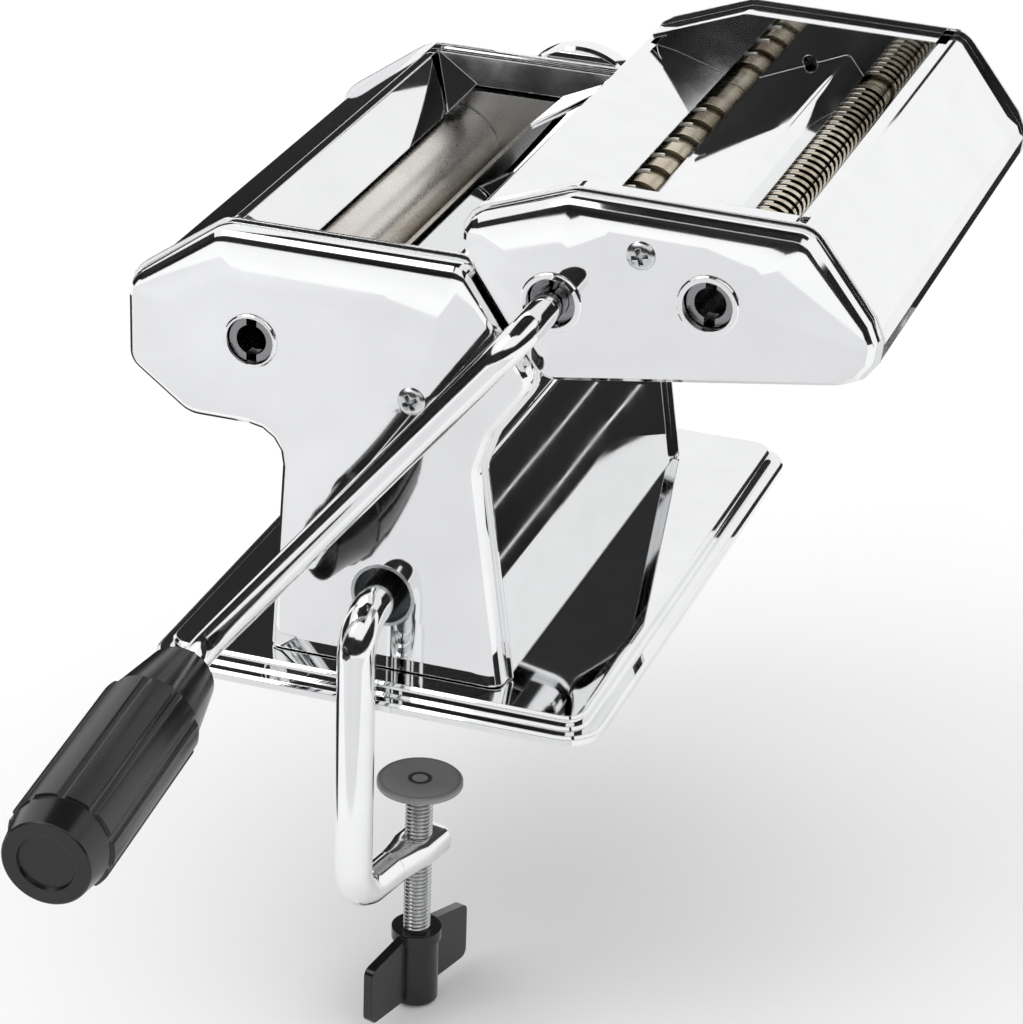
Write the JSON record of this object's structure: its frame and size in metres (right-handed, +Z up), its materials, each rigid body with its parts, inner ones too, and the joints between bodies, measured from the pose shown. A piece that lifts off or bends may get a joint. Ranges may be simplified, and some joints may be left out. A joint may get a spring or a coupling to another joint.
{
  "type": "hand cranked pasta machine",
  "caption": "Chromed table-top pasta machine with smooth rollers, clip-on cutter unit, hand crank and screw table clamp.",
  "frame": {"origin": "centre of the base on the table face, under the body", "axes": "+X from the smooth rollers towards the cutter unit, +Y from the crank side away, along the rollers, +Z up from the table"},
  "size_m": [0.2134, 0.3313, 0.267],
  "materials": {
    "chrome_plate": "polished chrome plate",
    "bright_steel": "plain rolled steel",
    "zinc_steel": "zinc plated, dull",
    "roller_steel": "satin, finely turned",
    "cutter_alloy": "satin, finely turned",
    "pale_nylon": "moulded",
    "black_plastic": "moulded, semi gloss",
    "dark_board": "matt sheet"
  },
  "bodies": {
    "machine": {"base_tray": "chrome_plate", "base_board": "dark_board", "base_screws": "zinc_steel", "front_frame": "bright_steel", "rear_frame": "bright_steel", "front_cover": "chrome_plate", "rear_cover": "chrome_plate", "cover_screws": "zinc_steel", "left_panel": "chrome_plate", "right_panel": "chrome_plate", "hopper_ends": "chrome_plate", "sheet_guide": "chrome_plate", "tie_rods": "bright_steel", "roller_bushes": "pale_nylon", "crank_collar": "chrome_plate", "clamp_tube": "bright_steel", "hitch_rails": "bright_steel", "roller_scrapers": "bright_steel", "dial_plate": "bright_steel"},
    "drive_roller": {"drive_roller": "roller_steel", "drive_gear": "bright_steel"},
    "roller_carrier": {"roller_carrier": "bright_steel"},
    "idle_roller": {"idle_roller": "roller_steel", "idle_gear": "bright_steel"},
    "adjuster": {"adjuster_cam": "bright_steel"},
    "adjusting_knob": {"adjusting_knob": "chrome_plate"},
    "cutter_unit": {"cutter_front_cap": "chrome_plate", "cutter_rear_cap": "chrome_plate", "cutter_front_plate": "chrome_plate", "cutter_rear_plate": "chrome_plate", "cutter_left_panel": "chrome_plate", "cutter_ridge": "chrome_plate", "cutter_right_panel": "chrome_plate", "cutter_tie_rods": "bright_steel", "cutter_cap_screws": "zinc_steel", "cutter_collars": "chrome_plate", "cutter_bushes": "pale_nylon", "hitch_tongues": "bright_steel", "wide_combs": "pale_nylon", "narrow_combs": "pale_nylon"},
    "wide_drive": {"wide_drive_cutter": "cutter_alloy", "wide_drive_gear": "bright_steel"},
    "wide_driven": {"wide_driven_cutter": "cutter_alloy", "wide_driven_gear": "bright_steel"},
    "narrow_drive": {"narrow_drive_cutter": "cutter_alloy", "narrow_drive_gear": "bright_steel"},
    "narrow_driven": {"narrow_driven_cutter": "cutter_alloy", "narrow_driven_gear": "bright_steel"},
    "crank": {"crank_arm": "chrome_plate", "crank_pin": "zinc_steel"},
    "crank_grip": {"crank_grip": "black_plastic"},
    "clamp_swivel": {"clamp_bush": "bright_steel"},
    "clamp": {"clamp_rod": "chrome_plate"},
    "clamp_pad": {"clamp_pad": "zinc_steel"},
    "clamp_screw": {"clamp_screw": "zinc_steel", "wing_knob": "black_plastic"}
  },
  "joints": [
    {"name": "drive_spin", "type": "hinge", "parent": "machine", "child": "drive_roller", "pos_m": [-0.03886, 0, 0.10002], "axis": [0, 1, 0], "continuous": true},
    {"name": "carrier_slide", "type": "slide", "parent": "machine", "child": "roller_carrier", "axis": [-1, 0, 0], "range_m": [0, 0.0026]},
    {"name": "idle_spin", "type": "hinge", "parent": "roller_carrier", "child": "idle_roller", "pos_m": [-0.00406, 0, 0.10002], "axis": [0, 1, 0], "continuous": true},
    {"name": "adjuster_turn", "type": "hinge", "parent": "machine", "child": "adjuster", "pos_m": [-0.00346, 0, 0.11252], "axis": [0, 1, 0], "range_deg": [-0.5, 240.5]},
    {"name": "knob_pull", "type": "slide", "parent": "adjuster", "child": "adjusting_knob", "axis": [0, 1, 0], "range_m": [0, 0.0035], "stiffness_N_per_m": 600, "springref_m": -0.003},
    {"name": "cutter_slide", "type": "slide", "parent": "machine", "child": "cutter_unit", "axis": [-0.5639, 0, 0.8258], "range_m": [0, 0.032]},
    {"name": "wide_drive_spin", "type": "hinge", "parent": "cutter_unit", "child": "wide_drive", "pos_m": [0.04815, 0, 0.12741], "axis": [0, 1, 0], "continuous": true},
    {"name": "wide_driven_spin", "type": "hinge", "parent": "cutter_unit", "child": "wide_driven", "pos_m": [0.06349, 0, 0.12962], "axis": [0, 1, 0], "continuous": true},
    {"name": "narrow_drive_spin", "type": "hinge", "parent": "cutter_unit", "child": "narrow_drive", "pos_m": [0.09066, 0, 0.13354], "axis": [0, 1, 0], "continuous": true},
    {"name": "narrow_driven_spin", "type": "hinge", "parent": "cutter_unit", "child": "narrow_driven", "pos_m": [0.10601, 0, 0.13575], "axis": [0, 1, 0], "continuous": true},
    {"name": "crank_pull", "type": "slide", "parent": "wide_drive", "child": "crank", "axis": [0, -1, 0], "range_m": [0, 0.015]},
    {"name": "grip_spin", "type": "hinge", "parent": "crank", "child": "crank_grip", "pos_m": [-0.03972, -0.16688, 0.01455], "axis": [0.054, -0.9976, -0.0442], "continuous": true},
    {"name": "clamp_swing", "type": "hinge", "parent": "machine", "child": "clamp_swivel", "pos_m": [0.00078, 0, 0.0299], "axis": [0, 1, 0], "range_deg": [-10, 10]},
    {"name": "clamp_pull", "type": "slide", "parent": "clamp_swivel", "child": "clamp", "axis": [0, -1, 0], "range_m": [0, 0.06]},
    {"name": "pad_slide", "type": "slide", "parent": "clamp", "child": "clamp_pad", "axis": [0, 0, 1], "range_m": [-0.012, 0.022]},
    {"name": "screw_turn", "type": "hinge", "parent": "clamp_pad", "child": "clamp_screw", "pos_m": [0.00758, -0.07105, -0.06], "axis": [0, 0, 1], "range_deg": [-3466, 6346]}
  ],
  "couplings": [
    {"joint": "idle_spin", "follows": "drive_spin", "ratio": -1},
    {"joint": "adjuster_turn", "follows": "carrier_slide", "rad_per_m": 1611.1},
    {"joint": "wide_driven_spin", "follows": "wide_drive_spin", "ratio": -1},
    {"joint": "narrow_driven_spin", "follows": "narrow_drive_spin", "ratio": -1},
    {"joint": "screw_turn", "follows": "pad_slide", "rad_per_m": 5026.5}
  ]
}
